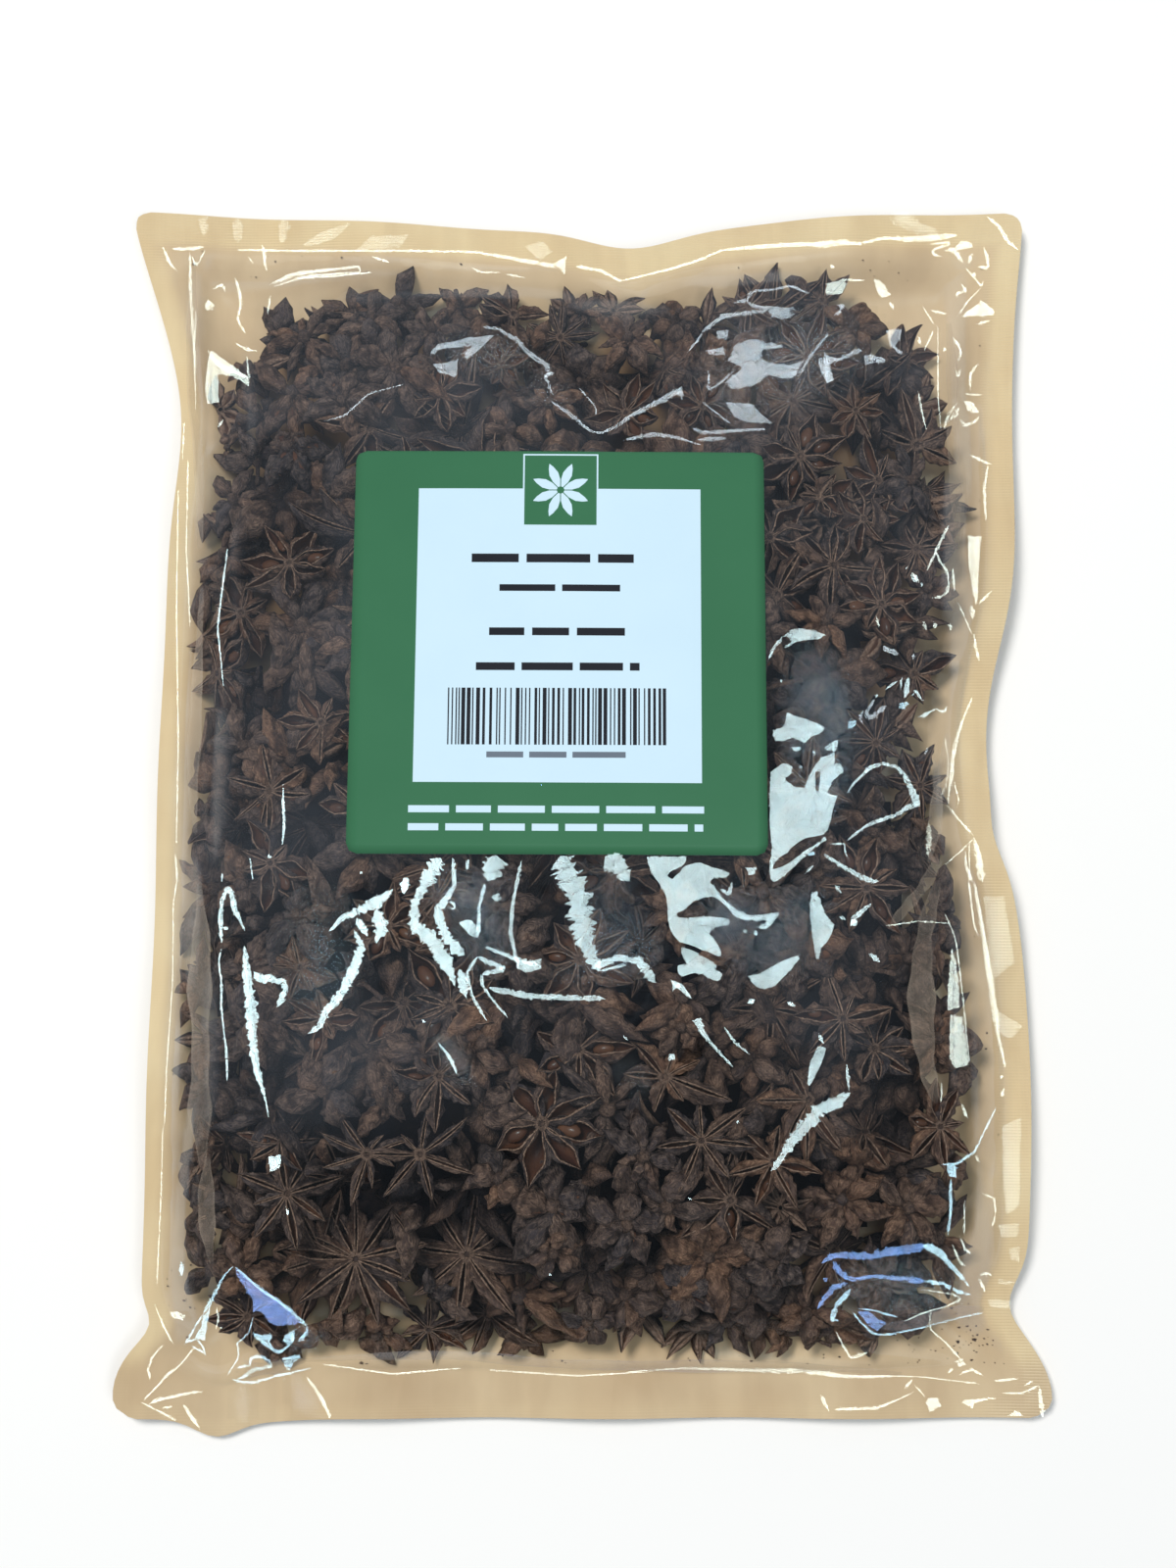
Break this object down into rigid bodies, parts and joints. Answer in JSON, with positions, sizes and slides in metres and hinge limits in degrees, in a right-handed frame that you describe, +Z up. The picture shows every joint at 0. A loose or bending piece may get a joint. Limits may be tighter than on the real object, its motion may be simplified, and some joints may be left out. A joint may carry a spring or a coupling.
{
  "type": "bag of star anise pods",
  "caption": "Clear heat-sealed pouch filled with whole dried star anise pods, lying on its back, with a plain square green and white paper label on its front.",
  "frame": {"origin": "under the middle of the pouch's outline, on the surface it rests on", "axes": "+Z up through the front of the pouch, +Y towards its top seal, +X to the right as its label is seen"},
  "size_m": [0.2324, 0.311, 0.0437],
  "materials": {
    "bag_film": "clear glossy film over a tan back film",
    "label_paper": "smooth coated paper, green border and white panel",
    "star_anise": "dry wrinkled pod, matt outside, satin inside",
    "anise_seed": "polished seed"
  },
  "bodies": {
    "root": {"bag": "bag_film", "label": "label_paper"}
  },
  "joints": []
}
